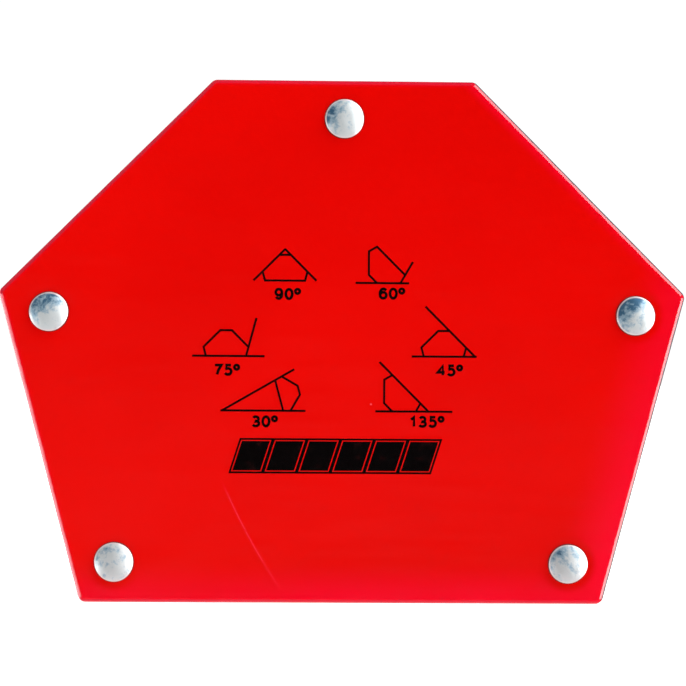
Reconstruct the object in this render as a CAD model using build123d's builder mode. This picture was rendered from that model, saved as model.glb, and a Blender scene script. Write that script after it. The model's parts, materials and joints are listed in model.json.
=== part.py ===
from build123d import *
import os
from math import cos, radians, sin, tan

# Six-angle magnetic holder for welding. Two painted steel plates are riveted over a layer of
# ferrite bars, which makes the straight rims of the plates magnetic. Those six rims are the
# working edges, and the angles between them are the angles that the holder sets.
#
# Frame: millimetres, with X along the bottom edge, Y through the thickness, the printed front
# facing -Y, and Z up. The origin is the middle of the bottom edge, halfway through the thickness.

# ---- plate outline, to the sharp corners before they are rounded
overall_width = 135.0  # side corner to side corner
overall_height = 102.6  # bottom edge to top edge
top_edge_length = 51.3
shoulder_angle = 45.0  # upper sloping edges, from the bottom edge
flank_angle = 75.0  # lower sloping edges, from the bottom edge
corner_radius = 1.6

# ---- plates
plate_thickness = 2.0
plate_edge_round = 0.9  # rim of the outer face, rolled over by the blanking die
plate_edge_break = 0.2  # deburred rim of the inner face

# ---- magnet bars, one or two along each working edge
magnet_thickness = 10.0  # also the gap between the plates
magnet_depth = 15.0  # inward from the working edge
magnet_setback = 1.0  # from the working edge to the outer side of a bar
magnet_clearance = 0.5  # at corners, around spacers and beside the middle of the bottom edge
magnet_edge_break = 0.4

# ---- rivets
rivet_shank_radius = 2.0
rivet_fit = 0.05  # radial, in the plates and in the spacers
rivet_head_radius = 3.8
rivet_head_height = 1.6
rivet_head_side = 0.3  # straight side of a head, below its dome
rivet_flat_radius = 1.9  # flat that the riveting set leaves on a back head

# ---- rivet centres, by their distances inside the edges beside them
top_rivet_inset = 7.6
bottom_rivet_inset = 7.95
flank_rivet_inset = 8.6
shoulder_rivet_inset = 9.9

# ---- spacers, the tubes around the rivets that hold the plates apart
spacer_radius = 4.5

# ---- worked out: the outline's lengths, its angles and the corners on the right
shoulder_width = (overall_width - top_edge_length) / 2
shoulder_length = shoulder_width / cos(radians(shoulder_angle))
flank_height = overall_height - shoulder_width * tan(radians(shoulder_angle))
flank_length = flank_height / sin(radians(flank_angle))
bottom_edge_length = overall_width - 2 * flank_height / tan(radians(flank_angle))

bottom_corner_angle = 180 - flank_angle
side_corner_angle = flank_angle + shoulder_angle
top_corner_angle = 180 - shoulder_angle

bottom_corner = Vector(bottom_edge_length / 2, 0, 0)
side_corner = Vector(overall_width / 2, 0, flank_height)
top_corner = Vector(top_edge_length / 2, 0, overall_height)


def edge_plane(start, direction):
    """The plane of a working edge: x along it from its start, y inward, z to the front."""
    along = (cos(radians(direction)), 0, sin(radians(direction)))
    return Plane(origin=start, x_dir=along, z_dir=Plane.XZ.z_dir)


# ---- worked out: the working edges on the right, of which the bottom one starts at its middle
bottom_edge = edge_plane((0, 0, 0), 0)
flank_edge = edge_plane(bottom_corner, flank_angle)
shoulder_edge = edge_plane(side_corner, 180 - shoulder_angle)
top_edge = edge_plane(top_corner, 180)


def rivet_in_corner(corner_angle, inset_before, edge, inset):
    """The centre of a rivet where an edge starts, by its insets from the edge before and this."""
    angle = radians(corner_angle)
    distance = (inset_before + inset * cos(angle)) / sin(angle)
    return edge.from_local_coords((distance, inset))


def on_the_left(point):
    """A point's mirror image."""
    return Vector(-point.X, point.Y, point.Z)


def along(edge, point):
    """How far along an edge a point lies."""
    return edge.to_local_coords(point).X


# ---- worked out: the rivet centres
top_rivet = Vector(0, 0, overall_height - top_rivet_inset)
side_rivet = rivet_in_corner(
    side_corner_angle, flank_rivet_inset, shoulder_edge, shoulder_rivet_inset
)
bottom_rivet = rivet_in_corner(
    bottom_corner_angle, bottom_rivet_inset, flank_edge, flank_rivet_inset
)
rivet_centres = {
    "top": top_rivet,
    "side_left": on_the_left(side_rivet),
    "side_right": side_rivet,
    "bottom_left": on_the_left(bottom_rivet),
    "bottom_right": bottom_rivet,
}


def corner_room(corner_angle):
    """What a bar leaves free at a corner, so that it stays on its own side of the bisector."""
    return (magnet_setback + magnet_depth) / tan(radians(corner_angle / 2)) + magnet_clearance


# ---- worked out: where each magnet bar on the right starts and stops along its edge
spacer_room = spacer_radius + magnet_clearance
bottom_room = corner_room(bottom_corner_angle)
side_room = corner_room(side_corner_angle)
top_room = corner_room(top_corner_angle)

magnet_runs = {
    "bottom": (
        bottom_edge,
        magnet_clearance,
        min(bottom_edge_length / 2 - bottom_room, along(bottom_edge, bottom_rivet) - spacer_room),
    ),
    "flank": (
        flank_edge,
        max(bottom_room, along(flank_edge, bottom_rivet) + spacer_room),
        min(flank_length - side_room, along(flank_edge, side_rivet) - spacer_room),
    ),
    "shoulder": (
        shoulder_edge,
        max(side_room, along(shoulder_edge, side_rivet) + spacer_room),
        shoulder_length - top_room,
    ),
    "top": (
        top_edge,
        top_room,
        along(top_edge, top_rivet) - spacer_room,
    ),
}

os.makedirs("parts", exist_ok=True)

# ---- front plate: rounded corners, rivet holes, a rolled rim in front and a deburred one inside
with BuildPart() as front_plate:
    with BuildSketch(Plane.XZ.offset(magnet_thickness / 2)) as outline:
        with BuildLine():
            right = Polyline(*[(c.X, c.Z) for c in (bottom_corner, side_corner, top_corner)])
            left = mirror(right, about=Plane.YZ)
            Line(left @ 0, right @ 0)
            Line(left @ 1, right @ 1)
        make_face()
        fillet(outline.vertices(), corner_radius)
        with Locations(*[(centre.X, centre.Z) for centre in rivet_centres.values()]):
            Circle(rivet_shank_radius + rivet_fit, mode=Mode.SUBTRACT)
    extrude(amount=plate_thickness)
    outer_rim = front_plate.faces().sort_by(Axis.Y)[0].outer_wire().edges()
    fillet(outer_rim, min(plate_edge_round, plate_thickness / 2))
    inner_rim = front_plate.faces().sort_by(Axis.Y)[-1].outer_wire().edges()
    chamfer(inner_rim, min(plate_edge_break, plate_thickness / 4))
front_plate.part.label = "front_plate"
export_step(front_plate.part, "parts/front_plate.step")

# ---- back plate: the front plate's mirror image
with BuildPart() as back_plate:
    mirror(front_plate.part, about=Plane.XZ)
back_plate.part.label = "back_plate"
export_step(back_plate.part, "parts/back_plate.step")

# ---- rivets: solid, domed in front, and closed behind by a set that leaves a flat on the head
plate_face = magnet_thickness / 2 + plate_thickness
dome_edge = plate_face + rivet_head_side
head_top = plate_face + rivet_head_height

for place, centre in rivet_centres.items():
    with BuildPart() as rivet:
        with BuildSketch(Plane(origin=centre)):
            with BuildLine():
                front_dome = TangentArc(
                    (0, -head_top), (rivet_head_radius, -dome_edge), tangent=(1, 0)
                )
                back_dome = TangentArc(
                    (rivet_flat_radius, head_top), (rivet_head_radius, dome_edge), tangent=(1, 0)
                )
                Polyline(
                    front_dome @ 1,
                    (rivet_head_radius, -plate_face),
                    (rivet_shank_radius, -plate_face),
                    (rivet_shank_radius, plate_face),
                    (rivet_head_radius, plate_face),
                    back_dome @ 1,
                )
                Polyline(back_dome @ 0, (0, head_top), front_dome @ 0)
            make_face()
        revolve(axis=Axis(centre, (0, 1, 0)))
    rivet.part.label = f"rivet_{place}"
    export_step(rivet.part, f"parts/rivet_{place}.step")

# ---- spacers: a tube around each rivet, as long as the magnet bars are thick
for place, centre in rivet_centres.items():
    with BuildPart() as spacer:
        with BuildSketch(Plane(origin=centre, z_dir=Plane.XZ.z_dir)):
            Circle(spacer_radius)
            Circle(rivet_shank_radius + rivet_fit, mode=Mode.SUBTRACT)
        extrude(amount=magnet_thickness / 2, both=True)
    spacer.part.label = f"spacer_{place}"
    export_step(spacer.part, f"parts/spacer_{place}.step")

# ---- magnet bars: ferrite blocks with broken edges, made on the right and mirrored to the left
for place, (edge, start, stop) in magnet_runs.items():
    with BuildPart() as magnet_right:
        with BuildSketch(edge):
            with Locations(((start + stop) / 2, magnet_setback + magnet_depth / 2)):
                Rectangle(stop - start, magnet_depth)
        extrude(amount=magnet_thickness / 2, both=True)
        chamfer(magnet_right.edges(), magnet_edge_break)
    magnet_right.part.label = f"magnet_{place}_right"
    export_step(magnet_right.part, f"parts/magnet_{place}_right.step")

    with BuildPart() as magnet_left:
        mirror(magnet_right.part, about=Plane.YZ)
    magnet_left.part.label = f"magnet_{place}_left"
    export_step(magnet_left.part, f"parts/magnet_{place}_left.step")
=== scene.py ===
"""Looks of the magnetic holder for welding, laid out as an add-on and run as a script."""

import json
from math import cos, degrees, pi, radians, sin
from typing import NamedTuple

import bmesh
import bpy
import numpy as np
from bpy.props import FloatProperty, FloatVectorProperty, IntProperty, PointerProperty
from mathutils import Matrix, Vector
from mathutils.geometry import delaunay_2d_cdt


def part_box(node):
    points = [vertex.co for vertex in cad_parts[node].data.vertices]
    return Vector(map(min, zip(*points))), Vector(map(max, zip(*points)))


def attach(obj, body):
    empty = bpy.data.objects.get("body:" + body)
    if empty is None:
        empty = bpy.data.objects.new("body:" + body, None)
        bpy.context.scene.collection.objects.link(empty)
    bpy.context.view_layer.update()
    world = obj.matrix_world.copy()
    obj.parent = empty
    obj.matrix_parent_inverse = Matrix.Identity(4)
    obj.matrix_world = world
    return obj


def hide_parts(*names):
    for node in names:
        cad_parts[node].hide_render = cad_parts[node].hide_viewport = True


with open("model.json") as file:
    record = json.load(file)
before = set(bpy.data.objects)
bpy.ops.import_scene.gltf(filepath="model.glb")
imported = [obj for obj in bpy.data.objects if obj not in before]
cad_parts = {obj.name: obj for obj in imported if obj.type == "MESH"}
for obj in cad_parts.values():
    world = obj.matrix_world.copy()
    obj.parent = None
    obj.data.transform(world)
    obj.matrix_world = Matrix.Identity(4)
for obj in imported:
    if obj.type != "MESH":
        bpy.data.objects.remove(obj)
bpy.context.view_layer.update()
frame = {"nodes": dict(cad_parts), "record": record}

bl_info = {
    "name": "Welding Magnet Holder",
    "version": (1, 0, 0),
    "blender": (4, 5, 0),
    "location": "3D View > Sidebar > Holder",
    "description": "Builds the painted plates, rivets, spacers, magnet bars and print of a holder",
    "category": "Object",
}

MM = 0.001
BODY = "root"
ACROSS = [0, 2]  # X and Z, the plane of the plates

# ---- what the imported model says: the plates, the rivet axes and the working edges


def mesh_points(mesh):
    """The points of a mesh, one row each."""
    points = np.zeros(len(mesh.vertices) * 3)
    mesh.vertices.foreach_get("co", points)
    return points.reshape(-1, 3)


def node_points(node):
    """The points of a CAD node's mesh."""
    return mesh_points(frame["nodes"][node].data)


def middle_across(node):
    """The middle of a CAD node in X and Z, which for a turned part is its axis."""
    low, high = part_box(node)
    return np.array([(low.x + high.x) / 2, (low.z + high.z) / 2])


def unit(angle):
    """Unit vectors in X and Z at the given angles, in radians from X."""
    return np.stack([np.cos(angle), np.sin(angle)], axis=-1)


def smooth(value, low, high):
    """0 below low, 1 above high, and 3 t^2 - 2 t^3 between them."""
    t = np.clip((value - low) / (high - low), 0, 1)
    return t * t * (3 - 2 * t)


FIRST_ANGLE = -pi / 2 - 0.1  # just before the bottom edge's normal, where the edges start
PLACES = ("top", "side_left", "side_right", "bottom_left", "bottom_right")
MAGNETS = ("bottom", "flank", "shoulder", "top")

plate_low, plate_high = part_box("front_plate")
plate_thickness = plate_high.y - plate_low.y
outer_face = -plate_low.y  # from the middle of the holder to the outer face of a plate
plate_width = plate_high.x - plate_low.x
plate_height = plate_high.z - plate_low.z

rivet_axes = np.array([middle_across(f"rivet_{place}") for place in PLACES])
rivet_low, rivet_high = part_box("rivet_top")
head_radius = (rivet_high.x - rivet_low.x) / 2
head_height = rivet_high.y - outer_face
spacer_low, spacer_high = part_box("spacer_top")
spacer_radius = (spacer_high.x - spacer_low.x) / 2
bore_radius = np.linalg.norm(node_points("spacer_top")[:, ACROSS] - rivet_axes[0], axis=1).min()

# the six working edges, anticlockwise from the bottom one
edge_mounts = [mount for mount in frame["record"]["mounts"] if "_edge" in mount["name"]]
edge_points = np.array([mount["pos_m"] for mount in edge_mounts])[:, ACROSS]
edge_normals = np.array([mount["axis"] for mount in edge_mounts])[:, ACROSS]
edge_angles = np.arctan2(edge_normals[:, 1], edge_normals[:, 0])
edge_angles = (edge_angles - FIRST_ANGLE) % (2 * pi) + FIRST_ANGLE
edge_order = np.argsort(edge_angles)
edge_angles = edge_angles[edge_order]
edge_normals = edge_normals[edge_order]
edge_offsets = (edge_points[edge_order] * edge_normals).sum(axis=1)
EDGES = [edge_mounts[place]["name"].replace("_edge", "") for place in edge_order]


def edge_distance(across):
    """How far points lie inside the nearest working edge."""
    return (edge_offsets - across @ edge_normals.T).min(axis=-1)


def rivet_distance(across):
    """How far points lie from the nearest rivet axis."""
    return np.linalg.norm(across[:, None] - rivet_axes, axis=-1).min(axis=-1)


# ---- sizes and colours that a user may change


def length(name, description, millimetres):
    """A length property, with its default in millimetres."""
    return FloatProperty(
        name=name,
        description=description,
        default=millimetres * MM,
        min=0,
        precision=5,
        unit="LENGTH",
    )


def angle(name, description, value):
    """An angle property, with its default in degrees."""
    return FloatProperty(
        name=name,
        description=description,
        default=radians(value),
        subtype="ANGLE",
    )


def colour(name, description, *rgb):
    """A colour property without alpha."""
    return FloatVectorProperty(
        name=name,
        description=description,
        default=rgb,
        size=3,
        min=0,
        max=1,
        subtype="COLOR",
    )


class HolderPlateSettings(bpy.types.PropertyGroup):
    """The two painted steel plates."""

    corner_radius: length("Corner radius", "Radius of a plate's six corners", 1.6)
    edge_round: length("Edge round", "Radius of the rim rolled over by the blanking die", 0.9)
    edge_break: length("Edge break", "Width of the deburred rim of the inner face", 0.2)
    dimple_depth: length("Dimple depth", "How far a rivet pulls the plate in around it", 0.1)
    waviness: length("Waviness", "How far the rolled sheet is from flat", 0.02)
    paint: colour("Paint", "Main colour of the enamel", 0.65, 0.0013, 0.0004)
    thin_paint: colour("Thin paint", "Colour where the enamel is thin", 0.61, 0.0012, 0.0004)
    # painted sheen: a lighter, cooler red along the rims, standing in for light glancing off them
    edge_sheen: colour("Edge tint", "Cooler red along the rims", 0.77, 0.0008, 0.017)
    worn_rim: colour("Worn rim", "Primer and steel at the outermost rim", 0.07, 0.05, 0.058)
    thin_rim: colour("Thin rim", "Crimson where the film is thin over a rim", 0.60, 0.001, 0.020)
    # painted shade: the dark ring in the crevice around each rivet head
    crevice_shade: colour("Grime", "Dirt in the crevice around a rivet", 0.09, 0.003, 0.003)
    scratched: colour("Scratched paint", "Enamel bruised by a scratch", 0.80, 0.004, 0.045)
    dust: colour("Dust", "Nibs of dust caught in the enamel", 0.90, 0.10, 0.14)


class HolderRivetSettings(bpy.types.PropertyGroup):
    """The five zinc-plated rivets and their spacers."""

    dent_depth: length("Dent depth", "Depth of the hammered dents in a head", 0.05)
    out_of_round: FloatProperty(
        name="Out of round",
        description="Share of its radius by which a head's rim wanders",
        default=0.012,
        min=0,
        max=0.05,
        subtype="FACTOR",
    )
    zinc_light: colour("Light zinc", "Bright plating", 0.72, 0.77, 0.78)
    zinc_middle: colour("Zinc", "Plating", 0.34, 0.50, 0.61)
    # dark zinc is the blue-grey mottling and also the painted shade on one side of each head
    zinc_dark: colour("Dark zinc", "Blue-grey mottling", 0.050, 0.15, 0.26)
    # a rubbed rim with a painted pink-white highlight on it, standing in for the light that its rim
    # catches
    burnish_and_highlight: colour("Burnish", "Rubbed rim of a head", 0.90, 0.80, 0.80)
    spacer_chamfer: length("Spacer chamfer", "Broken edge of a turned spacer", 0.3)
    aluminium: colour("Aluminium", "Turned spacers", 0.80, 0.81, 0.82)


class HolderMagnetSettings(bpy.types.PropertyGroup):
    """The ferrite bars between the plates."""

    edge_radius: length("Edge radius", "Rounding of the pressed bars", 0.45)
    chip_depth: length("Chip depth", "Deepest chip along a bar's edges", 0.55)
    chips: IntProperty(
        name="Chips",
        description="Chips knocked out of the edges of one bar",
        default=12,
        min=0,
        max=60,
    )
    ferrite: colour("Ferrite", "Sintered ferrite", 0.020, 0.0195, 0.021)
    fresh_break: colour("Fresh break", "Grain of a chip", 0.065, 0.063, 0.066)


class HolderPrintSettings(bpy.types.PropertyGroup):
    """The angle guide printed on the front plate."""

    line_width: length("Line width", "Width of the drawn lines", 0.41)
    digit_height: length("Digit height", "Height of the numbers", 2.25)
    ink_thickness: length("Ink thickness", "How far the ink stands on the paint", 0.03)
    ink: colour("Ink", "Screen-printed black", 0.0016, 0.0008, 0.0009)
    thin_ink: colour("Thin ink", "Where the red shows through", 0.020, 0.0008, 0.0008)


class HolderStageSettings(bpy.types.PropertyGroup):
    """Floor, lights and camera."""

    floor_radius: length("Floor radius", "Radius of the pale floor", 4000)
    floor_colour: colour("Floor", "Pale floor", 0.90, 0.90, 0.90)
    light_strength: FloatProperty(
        name="Light strength",
        description="Scales every lamp",
        default=1.0,
        min=0,
    )
    camera_distance: length("Camera distance", "To the middle of the front face", 352.9)
    camera_azimuth: angle("Camera azimuth", "From straight ahead, positive to the right", -1.258)
    camera_elevation: angle("Camera elevation", "Above the middle of the front face", -0.665)
    camera_roll: angle("Camera roll", "Turn about the line of sight", 0.40)
    lens: FloatProperty(
        name="Lens",
        description="Focal length on a full frame sensor",
        default=94.5,
        min=20,
        unit="CAMERA",
    )


# ---- surfaces: grids, paths and fills as whole arrays

SLIVER_AREA = 0.001 * MM**2


def grid_faces(rows, columns, wrap_rows=False, wrap_columns=False):
    """Quads between neighbouring points of a grid stored row by row."""
    row = np.arange(rows if wrap_rows else rows - 1)[:, None]
    column = np.arange(columns if wrap_columns else columns - 1)[None, :]
    next_row = (row + 1) % rows
    next_column = (column + 1) % columns
    corners = (
        row * columns + column,
        next_row * columns + column,
        next_row * columns + next_column,
        row * columns + next_column,
    )
    return np.stack([np.broadcast_to(c, (row.size, column.size)) for c in corners], -1).reshape(-1, 4)


def repeated(count, *values):
    """One row of values, count times."""
    return np.broadcast_to(values, (count, len(values)))


class Shell:
    """Gathers grids and triangles that share seams into one closed mesh."""

    def __init__(self):
        self.points = []
        self.faces = []
        self.count = 0

    def add(self, points, *groups):
        """Adds groups of faces, which are given by the numbers of their points."""
        points = points.reshape(-1, 3)
        self.points.append(points)
        for faces in groups:
            self.faces += (faces + self.count).tolist()
        self.count += len(points)

    def add_grid(self, points, wrap_rows=False, wrap_columns=False):
        """Adds a grid of points, rows by columns."""
        rows, columns = points.shape[:2]
        self.add(points, grid_faces(rows, columns, wrap_rows, wrap_columns))

    def mesh(self, name, sharp=radians(38)):
        """The mesh, with seams and poles merged, faces outward, and smooth except at sharp edges."""
        mesh = bpy.data.meshes.new(name)
        mesh.from_pydata(np.concatenate(self.points), [], self.faces)
        working = bmesh.new()
        working.from_mesh(mesh)
        bmesh.ops.remove_doubles(working, verts=working.verts, dist=0.001 * MM)
        bmesh.ops.dissolve_degenerate(working, edges=working.edges, dist=0.0005 * MM)
        bmesh.ops.recalc_face_normals(working, faces=working.faces)
        working.to_mesh(mesh)
        working.free()
        mesh.shade_smooth()
        mesh.set_sharp_from_angle(angle=sharp)
        return mesh


def store(mesh, name, values):
    """Keeps one number per point in a mesh, for its material to read."""
    attribute = mesh.attributes.new(name, "FLOAT", "POINT")
    attribute.data.foreach_set("value", values.astype(np.float32))


def rounded_path(angles, offsets, radius, spacing, steps=8):
    """Points and outward normals around a convex outline with rounded corners, anticlockwise.

    The outline is given by its edges: n(angle) . p = offset. Two neighbours meet at a corner, and
    the arc there is centre + radius * n(turn), with the centre set back from the corner by
    radius / cos(half the turn). Between two arcs the path is the straight line.
    """
    before = np.roll(angles, 1)
    before[0] -= 2 * pi
    pairs = np.stack([unit(before), unit(angles)], axis=1)
    corners = np.linalg.solve(pairs, np.stack([np.roll(offsets, 1), offsets], 1)[..., None])[..., 0]
    half_turns = (angles - before) / 2
    centres = corners - (radius / np.cos(half_turns))[:, None] * unit((angles + before) / 2)
    turns = before[:, None] + (angles - before)[:, None] * np.linspace(0, 1, steps + 1)
    arc_normals = unit(turns)
    arcs = centres[:, None] + radius * arc_normals

    points = []
    normals = []
    for edge, angle in enumerate(angles):
        start = arcs[edge, -1]
        stop = arcs[(edge + 1) % len(angles), 0]
        count = max(2, round(np.linalg.norm(stop - start) / spacing))
        run = np.linspace(start, stop, count, endpoint=False)[1:]
        points += [arcs[edge], run]
        normals += [arc_normals[edge], np.broadcast_to(unit(angle), run.shape)]
    return np.concatenate(points), np.concatenate(normals)


def placed(across, y):
    """Points from their X and Z and their Y."""
    return np.stack([across[..., 0], np.broadcast_to(y, across.shape[:-1]), across[..., 1]], axis=-1)


def circle(centre, radius, count):
    """Points around a circle in X and Z."""
    return centre + radius * unit(np.linspace(0, 2 * pi, count, endpoint=False))


def turned(axis, radius, y, count):
    """A surface of revolution: the profile (radius, y) carried around an axis along Y."""
    around = unit(np.linspace(0, 2 * pi, count, endpoint=False))
    return placed(axis + radius[:, None, None] * around, y[:, None])


def fill(points, loops, hole_radius):
    """Delaunay triangles over flat points, with the loops as edges and the rivet holes left open.

    Slivers along a straight border are left out, by half the cross product of two sides.
    """
    edges = [(first, second) for loop in loops for first, second in zip(loop, np.roll(loop, -1))]
    found = delaunay_2d_cdt([Vector(p) for p in points / MM], edges, [], 0, 1e-7)
    flat = np.array([tuple(p) for p in found[0]]) * MM
    faces = np.array([tuple(face) for face in found[2]])
    first, second, third = flat[faces].transpose(1, 0, 2)
    side, other = second - first, third - first
    areas = np.abs(side[:, 0] * other[:, 1] - side[:, 1] * other[:, 0]) / 2
    in_metal = rivet_distance(flat[faces].mean(axis=1)) > hole_radius
    return flat, faces[in_metal & (areas > SLIVER_AREA)]


def make_piece(name, mesh, material, slot, *nodes):
    """Puts a finished mesh into the scene as a piece that rides on the holder."""
    old = bpy.data.objects.get(name)
    if old:
        bpy.data.objects.remove(old)
    piece = bpy.data.objects.new(name, mesh)
    bpy.context.scene.collection.objects.link(piece)
    mesh.materials.append(material)
    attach(piece, BODY)
    if nodes:
        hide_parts(*nodes)


# ---- material nodes


class Nodes:
    """The node tree of a material or a world, with short ways to add what they share."""

    def __init__(self, owner):
        owner.use_nodes = True
        self.tree = owner.node_tree
        self.tree.nodes.clear()

    def add(self, kind, inputs, **settings):
        """Adds a node. An input is a number, a colour or another node's output."""
        node = self.tree.nodes.new("ShaderNode" + kind)
        for name, value in settings.items():
            setattr(node, name, value)
        for name, value in inputs.items():
            if isinstance(value, bpy.types.NodeSocket):
                self.tree.links.new(value, node.inputs[name])
            else:
                node.inputs[name].default_value = value
        return node

    def place(self, scale=None, turn=(0, 0, 0)):
        """Object coordinates, stretched and turned if asked."""
        place = self.add("TexCoord", {}).outputs["Object"]
        if scale is None:
            return place
        return self.add("Mapping", {"Vector": place, "Scale": scale, "Rotation": turn}).outputs[0]

    def attribute(self, name):
        """A number kept in the mesh."""
        return self.add("Attribute", {}, attribute_name=name).outputs["Fac"]

    def noise(self, vector, size, detail=2.0, roughness=0.5, distortion=0.0):
        """Cloudy noise from 0 to 1 whose lumps are about size across."""
        inputs = {
            "Vector": vector,
            "Scale": 1 / size,
            "Detail": detail,
            "Roughness": roughness,
            "Distortion": distortion,
        }
        return self.add("TexNoise", inputs).outputs["Fac"]

    def ramp(self, value, low, high, start=0.0, end=1.0):
        """start below low, end above high, and smooth between."""
        inputs = {"Value": value, "From Min": low, "From Max": high, "To Min": start, "To Max": end}
        return self.add("MapRange", inputs, interpolation_type="SMOOTHSTEP").outputs[0]

    def maths(self, operation, first, second=0.0):
        """Two numbers joined by an operation."""
        return self.add("Math", {0: first, 1: second}, operation=operation).outputs[0]

    def total(self, first, *others):
        """Numbers added up."""
        for other in others:
            first = self.maths("ADD", first, other)
        return first

    def product(self, first, *others):
        """Numbers multiplied together."""
        for other in others:
            first = self.maths("MULTIPLY", first, other)
        return first

    def vector(self, operation, first, second):
        """Two vectors joined by an operation that gives a number."""
        return self.add("VectorMath", {0: first, 1: second}, operation=operation).outputs["Value"]

    def blend(self, share, first, second):
        """The first colour turning into the second as share goes from 0 to 1."""
        sides = [c if isinstance(c, bpy.types.NodeSocket) else (*c, 1) for c in (first, second)]
        inputs = {0: share, 6: sides[0], 7: sides[1]}  # the Mix node's sockets for colours
        return self.add("Mix", inputs, data_type="RGBA").outputs[2]

    def inside_edges(self, place):
        """How far a point lies inside each working edge, in their order, worked out exactly."""
        reaches = [self.vector("DOT_PRODUCT", place, (x, 0, z)) for x, z in edge_normals]
        return [self.maths("SUBTRACT", *pair) for pair in zip(edge_offsets, reaches)]

    def from_rivets(self, flat):
        """How far a point with no Y lies from the nearest rivet axis."""
        nearest = 1.0
        for axis in rivet_axes:
            away = self.vector("DISTANCE", flat, (axis[0], 0, axis[1]))
            nearest = self.maths("MINIMUM", away, nearest)
        return nearest

    def bump(self, height, distance, under=None):
        """Raises the surface by height times distance."""
        inputs = {"Height": height, "Distance": distance, "Strength": 1.0}
        if under is not None:
            inputs["Normal"] = under
        return self.add("Bump", inputs).outputs[0]

    def surface(self, **sockets):
        """Ends the tree with a Principled shader."""
        inputs = {name.replace("_", " "): value for name, value in sockets.items()}
        shader = self.add("BsdfPrincipled", inputs)
        self.add("OutputMaterial", {"Surface": shader.outputs[0]})


# painted sheen: the rims are painted a lighter, cooler red that reaches furthest in on one side, where the
# light falls
SHEEN_SIDE = radians(-38)  # the side of the plates where the tint reaches furthest in
SHEEN_REACH = 1.6 * MM
SHEEN_REACH_MORE = 11 * MM  # on top of that, on the tint's own side
WORN_SIDE = radians(20)  # the side whose rims are worn most
SCRATCH_MIDDLE = (0.366, 0.124)  # in shares of the plate's width and height
SCRATCH_RADIUS = 128 * MM
SCRATCH_HEADING = radians(29)  # from the middle of the scratch to the centre of its circle
SCRATCH_LENGTH = 26 * MM


def painted_sheen_share(nodes, place, rivet, clouds):
    """The painted sheen, a lighter and cooler red: 1 at a rim and 0 beyond its reach, which grows towards
    the sheen's side.
    """
    sheen = 0.0
    for angle, distance in zip(edge_angles, nodes.inside_edges(place)):
        reach = SHEEN_REACH + SHEEN_REACH_MORE * max(0.0, cos(angle - SHEEN_SIDE))
        sheen = nodes.maths("MAXIMUM", nodes.ramp(distance, 0.0, reach, 1.0, 0.0), sheen)
    cloudy = nodes.ramp(clouds, 0.3, 0.7, 0.6, 1.0)
    clear_of_rivet = nodes.ramp(rivet, 1.15 * head_radius, 1.6 * head_radius)
    return nodes.product(sheen, cloudy, clear_of_rivet)


def scratch_share(nodes, place, flat, flecks):
    """One long faint scratch on the front: an arc of a large circle that fades to its ends."""
    across, up = SCRATCH_MIDDLE
    middle = Vector((plate_low.x + across * plate_width, 0, plate_low.z + up * plate_height))
    centre = middle + SCRATCH_RADIUS * Vector((cos(SCRATCH_HEADING), 0, sin(SCRATCH_HEADING)))
    away = nodes.maths("SUBTRACT", nodes.vector("DISTANCE", flat, centre), SCRATCH_RADIUS)
    line = nodes.ramp(nodes.maths("ABSOLUTE", away), 0.04 * MM, 0.30 * MM, 1.0, 0.0)
    along = nodes.vector("DISTANCE", flat, middle)
    ends = nodes.ramp(along, 0.30 * SCRATCH_LENGTH, 0.52 * SCRATCH_LENGTH, 1.0, 0.0)
    uneven = nodes.ramp(flecks, 0.25, 0.6, 0.35, 1.0)
    y = nodes.add("SeparateXYZ", {0: place}).outputs["Y"]
    return nodes.product(line, ends, uneven, nodes.maths("LESS_THAN", y, 0.0))


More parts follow.
